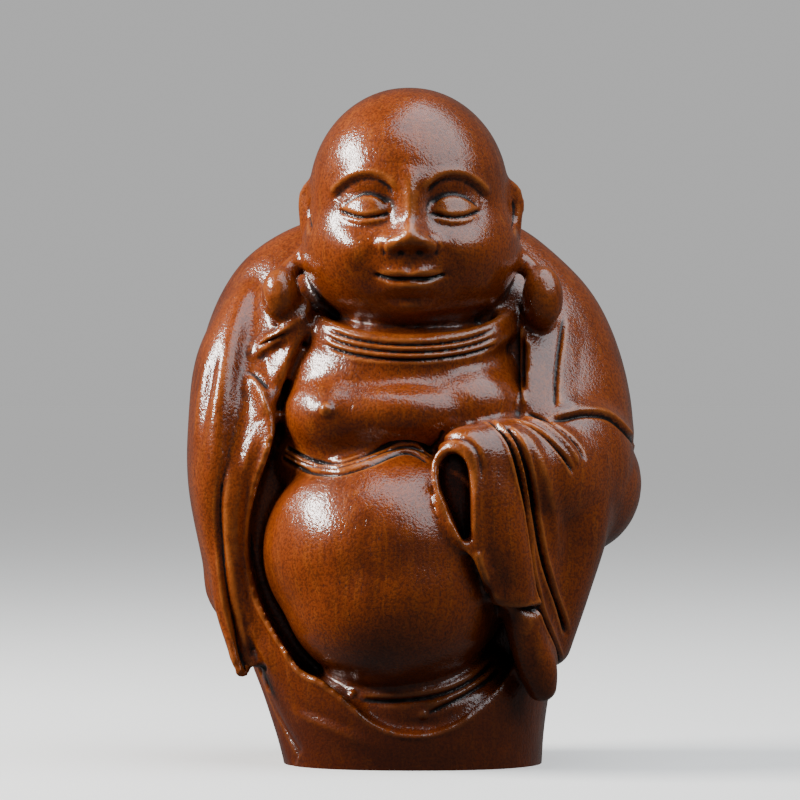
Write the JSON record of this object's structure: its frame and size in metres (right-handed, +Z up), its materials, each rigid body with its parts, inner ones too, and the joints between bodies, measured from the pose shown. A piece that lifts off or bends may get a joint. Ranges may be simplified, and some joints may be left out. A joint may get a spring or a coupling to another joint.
{
  "type": "laughing buddha carving",
  "caption": "Small standing wooden carving of a stout robed monk with a bare round belly, long ear lobes and one hand hidden in a draped sleeve.",
  "frame": {"origin": "centre of the figure's outer width and depth, on the flat underside", "axes": "+Z up along the figure's height, -Y out of the figure's face and belly, +X to the viewer's right, where the bent left arm is"},
  "size_m": [0.0454, 0.0388, 0.0672],
  "materials": {
    "stained_boxwood": "semi-gloss"
  },
  "bodies": {
    "root": {"buddha_carving": "stained_boxwood"}
  },
  "joints": []
}
